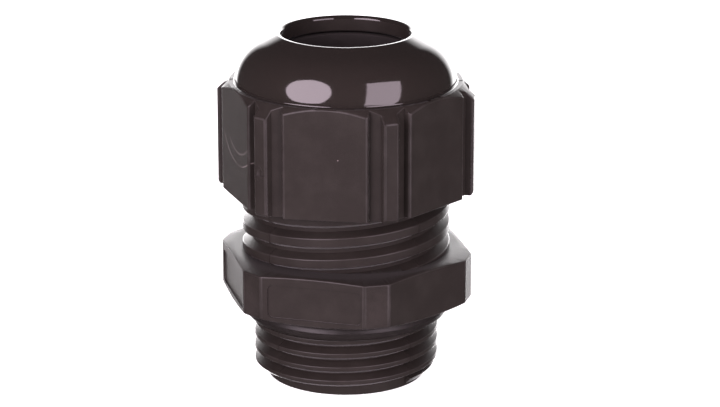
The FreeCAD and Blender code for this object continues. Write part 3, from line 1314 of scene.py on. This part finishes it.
    def hollow(self) -> Shape:
        """What is hollow inside the nut: entry, thread bore, relief, closing cone, throat and mouth."""
        entry = self.relief_r - self.minor_r
        low, throat_round = self.low(), 0.15
        return Shape.lathed("hollow", [
            (0, low - 1),
            (self.relief_r, low - 1),
            (self.relief_r, low),
            (self.minor_r, low + entry / 2),
            (self.minor_r, self.thread_top),
            (self.relief_r, self.thread_top + entry / 2),
            (self.relief_r, self.relief_top),
            (self.cone_foot_r, self.relief_top),
            (self.cone_head_r, self.throat_z),
            (self.mouth_r + throat_round, self.throat_z),
            (self.mouth_r, self.throat_z + throat_round),
            (self.mouth_r, self.high() + 1),
            (0, self.high() + 1),
        ], steps=self.dome_steps)

    def finish_of(self, middle: Vector, normal: Vector) -> int:
        """Which finish a face has: 0 moulded, 1 polished on the dome, 2 on the rounded edges, whose lighter
        tone is partly wear and partly a painted highlight.
        """
        across = middle.to_2d().length
        if middle.z > self.cone_high + 0.002 and across < self.dome_r + self.foot_fillet:
            above_throat = middle.z > self.throat_z + 0.1 and across > self.mouth_r + 0.005
            return 1 if across > self.cone_head_r or above_throat else 0
        slope = (self.cone_high - self.cone_low) / (self.rib_r - self.cone_high_r)
        outside = across > self.groove_apothem - 0.1
        return 2 if outside and is_rounding(normal, self.turn, 1 / math.hypot(1, slope)) else 0

    def build(
        self, finish: MouldedPlastic, polish: PolishedPlastic, edges: MouldedPlastic,
    ) -> bpy.types.Object:
        """Model the nut and dress it.

        Args:
            finish: What the nut is moulded in.
            polish: The finish of its dome.
            edges: The finish of its rounded edges, lighter for wear and a painted highlight.

        Returns:
            The finished object.
        """
        nut = self.hexagon().work(Joinery.UNITE, self.dome())
        nut.work(Joinery.CUT, self.hollow())
        grooves = nut_ridges("nut_groove", self.low() - 0.4, self.thread_top + 0.4, self.thread_clearance)
        nut.work(Joinery.CUT, *grooves)
        nut.obj.name = "cap_nut_moulding"
        obj = nut.to_frame()
        paint(obj, (finish, polish, edges), self.finish_of)
        self.place(obj)
        return obj


# ---------------------------------------------------------------------------------------------- studio


@dataclass(frozen=True)
class SoftBox:
    """A soft light seen from the object at an azimuth from the front, to the right, and a height angle."""

    name: str
    azimuth: float
    height: float
    distance: float
    width: float
    tall: float
    radiance: float
    form: str
    roll: float = 0.0

    def light(self, aim: Vector) -> bpy.types.Object:
        """Hang the light so that it faces a point.

        Args:
            aim: The point, in metres.

        Returns:
            The light.
        """
        level = direction(self.azimuth - 90.0) * math.cos(math.radians(self.height))
        away = level + Vector((0, 0, math.sin(math.radians(self.height))))
        data = bpy.data.lights.new(self.name, "AREA")
        data.shape = self.form
        data.size = self.width
        data.size_y = self.tall
        data.energy = self.radiance * math.pi * self.width * self.tall
        data.color = (1.0, 0.82, 0.94)
        light = bpy.data.objects.new(self.name, data)
        light.location = aim + away * self.distance
        turned = Quaternion((0, 0, 1), math.radians(self.roll))
        light.rotation_euler = (away.to_track_quat("Z", "Y") @ turned).to_euler()
        bpy.context.scene.collection.objects.link(light)
        return light


@dataclass(frozen=True)
class Studio:
    """The floor, the surroundings, the soft lights and the camera."""

    elevation: float = 17.07
    distance: float = 0.3155
    sideways: float = 0.0015
    aim_height: float = 0.01874
    lens: float = 147.4
    sensor: float = 36.0
    backdrop: float = 7.0
    backdrop_azimuth: float = 175.0
    backdrop_inner: float = 19.0
    backdrop_outer: float = 40.0
    dim: float = 0.05
    boxes: tuple[SoftBox, ...] = (
        SoftBox("left_softbox", -40.5, 20.0, 0.8, 0.70, 0.80, 7.4, "ELLIPSE"),
        SoftBox("right_softbox", 40.0, 12.5, 0.8, 0.52, 0.88, 6.2, "RECTANGLE", roll=-12.0),
    )

    def floor(self) -> None:
        """Lay the pale floor under the object."""
        clear_selection()
        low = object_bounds()[0].z
        bpy.ops.mesh.primitive_plane_add(size=6.0, location=(0, 0, low))
        floor = bpy.context.object
        floor.name = "studio_floor"
        floor.data.materials.append(PaleFloor().material())
        floor.visible_glossy = False
        floor.visible_shadow = False
        floor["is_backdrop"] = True

    def surroundings(self) -> None:
        """A white backdrop behind the object and dim surroundings in front of it."""
        world = bpy.data.worlds.new("studio")
        bpy.context.scene.world = world
        world.use_nodes = True
        tree = world.node_tree
        tree.nodes.clear()
        coord = tree.nodes.new("ShaderNodeTexCoord")
        towards = tree.nodes.new("ShaderNodeVectorMath")
        towards.operation = "DOT_PRODUCT"
        towards.inputs[1].default_value = direction(self.backdrop_azimuth - 90.0)
        back = tree.nodes.new("ShaderNodeMapRange")
        back.interpolation_type = "SMOOTHSTEP"
        back.inputs["From Min"].default_value = math.cos(math.radians(self.backdrop_outer))
        back.inputs["From Max"].default_value = math.cos(math.radians(self.backdrop_inner))
        back.inputs["To Min"].default_value = self.dim
        back.inputs["To Max"].default_value = self.backdrop
        path = tree.nodes.new("ShaderNodeLightPath")
        seen = tree.nodes.new("ShaderNodeMix")
        seen.data_type = "FLOAT"
        seen.inputs[3].default_value = 1.2
        shade = tree.nodes.new("ShaderNodeBackground")
        shade.inputs["Color"].default_value = (1.0, 0.975, 0.985, 1.0)
        output = tree.nodes.new("ShaderNodeOutputWorld")
        tree.links.new(coord.outputs["Generated"], towards.inputs[0])
        tree.links.new(towards.outputs["Value"], back.inputs["Value"])
        tree.links.new(path.outputs["Is Camera Ray"], seen.inputs["Factor"])
        tree.links.new(back.outputs["Result"], seen.inputs[2])
        tree.links.new(seen.outputs[0], shade.inputs["Strength"])
        tree.links.new(shade.outputs[0], output.inputs["Surface"])

    def camera(self) -> None:
        """Set up the camera in front of the object, looking down on it."""
        aim = Vector((self.sideways, 0, self.aim_height))
        angle = math.radians(self.elevation)
        away = Vector((0, -math.cos(angle), math.sin(angle)))
        data = bpy.data.cameras.new("camera")
        data.lens = self.lens
        data.sensor_width = self.sensor
        data.clip_start = 0.01
        camera = bpy.data.objects.new("camera", data)
        camera.location = aim + away * self.distance
        camera.rotation_euler = away.to_track_quat("Z", "Y").to_euler()
        bpy.context.scene.collection.objects.link(camera)
        bpy.context.scene.camera = camera

    def build(self) -> None:
        """Put up the whole studio."""
        bpy.context.scene.view_settings.view_transform = "Standard"
        self.floor()
        self.surroundings()
        aim = Vector((0, 0, self.aim_height))
        for box in self.boxes:
            box.light(aim)
        self.camera()


def main() -> None:
    """Build the studio, then each sub-assembly in order."""
    logging.basicConfig(level=logging.INFO, format="%(name)s: %(message)s")
    Studio().build()
    # The edge finish's lighter tone on the rounded edges and thread crests stands partly for wear and partly
    # for a painted highlight.
    edges = MouldedPlastic("edge_plastic_wear_and_painted_highlight", cloud_tone=(0.026, 0.022, 0.020), roughness=0.42, specular=0.3)
    grained = MouldedPlastic("grained_plastic", cloud_tone=(0.022, 0.018, 0.016), grain=0.03, grain_scale=5.0)
    GlandBody().build(MouldedPlastic("body_plastic"), grained, edges)
    SealingRing().build(Elastomer("ring_rubber", roughness=0.40))
    ClampingFingers().build(MouldedPlastic("finger_plastic"))
    SealingInsert().build(Elastomer("insert_rubber", roughness=0.80))
    CapNut().build(ScuffedPlastic("nut_plastic"), PolishedPlastic("dome_plastic"), edges)


if __name__ == "__main__":
    main()
